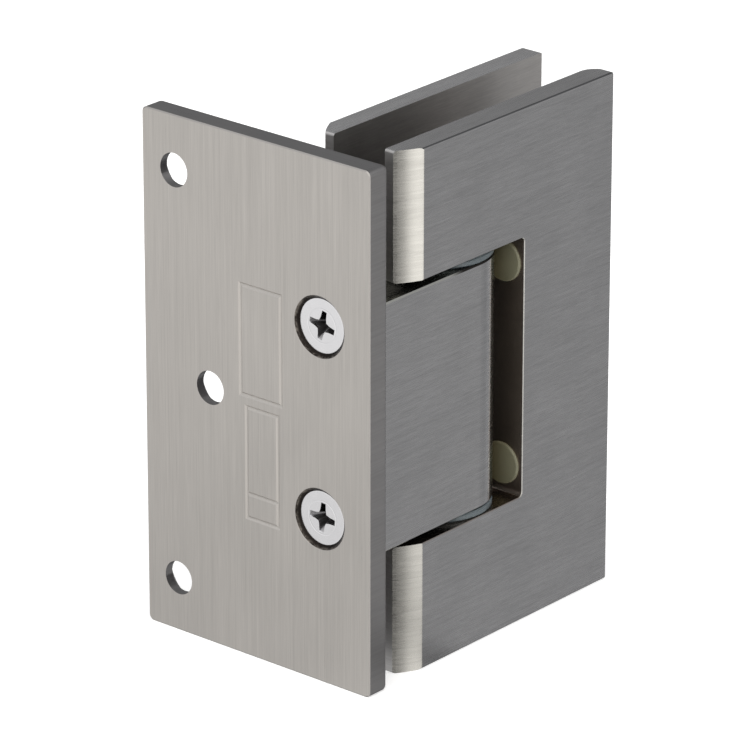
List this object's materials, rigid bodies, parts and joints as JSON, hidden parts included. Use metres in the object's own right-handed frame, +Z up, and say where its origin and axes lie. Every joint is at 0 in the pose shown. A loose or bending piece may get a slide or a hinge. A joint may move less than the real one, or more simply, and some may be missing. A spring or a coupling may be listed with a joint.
{
  "type": "glass door hinge",
  "caption": "Wall-to-glass pivot hinge for a frameless door: offset wall plate, half-round pivot block and a clamp leaf that swings both ways and centres itself.",
  "frame": {"origin": "on the wall face of the wall plate, at mid height, in line with the middle of the glass and the pivot axis", "axes": "+X out of the wall along the closed glass, +Z up along the pivot pin, -Y the visible front, with the wall plate offset towards +Y"},
  "size_m": [0.0621, 0.048, 0.09],
  "materials": {
    "plate_metal": "satin nickel, brushed upright",
    "block_metal": "satin nickel, brushed level",
    "leaf_metal": "satin nickel, brushed level",
    "screw_steel": "bright zinc or chrome plate",
    "pin_steel": "ground stainless steel",
    "plunger_steel": "hardened and ground",
    "spring_steel": "drawn stainless wire",
    "set_screw_steel": "stainless steel",
    "bush_plastic": "white acetal",
    "washer_plastic": "natural acetal",
    "button_plastic": "clear soft nylon"
  },
  "bodies": {
    "wall_side": {"wall_plate": "plate_metal", "pivot_block": "block_metal", "plate_screw_upper": "screw_steel", "plate_screw_lower": "screw_steel", "pin_bush_upper": "bush_plastic", "pin_bush_lower": "bush_plastic", "thrust_washer_upper": "washer_plastic", "plunger_spring_upper": "spring_steel", "plunger_spring_lower": "spring_steel"},
    "leaf": {"front_leaf": "leaf_metal", "rear_leaf": "leaf_metal", "pivot_pin": "pin_steel", "pin_set_screw_upper": "set_screw_steel", "pin_set_screw_lower": "set_screw_steel", "clamp_screw_upper": "pin_steel", "clamp_screw_lower": "pin_steel", "buffer_button_upper": "button_plastic", "buffer_button_lower": "button_plastic", "thrust_washer_lower": "washer_plastic"},
    "plunger_upper": {"plunger_upper": "plunger_steel"},
    "plunger_lower": {"plunger_lower": "plunger_steel"}
  },
  "joints": [
    {"name": "leaf_swing", "type": "hinge", "parent": "wall_side", "child": "leaf", "pos_m": [0.0287, 0, 0], "axis": [0, 0, 1], "range_deg": [-90, 90]},
    {"name": "plunger_upper_slide", "type": "slide", "parent": "wall_side", "child": "plunger_upper", "axis": [1, 0, 0], "range_m": [0, 0.0004], "stiffness_N_per_m": 400, "springref_m": 0.005, "deforming": ["plunger_spring_upper"]},
    {"name": "plunger_lower_slide", "type": "slide", "parent": "wall_side", "child": "plunger_lower", "axis": [1, 0, 0], "range_m": [0, 0.0004], "stiffness_N_per_m": 400, "springref_m": 0.005, "deforming": ["plunger_spring_lower"]}
  ]
}
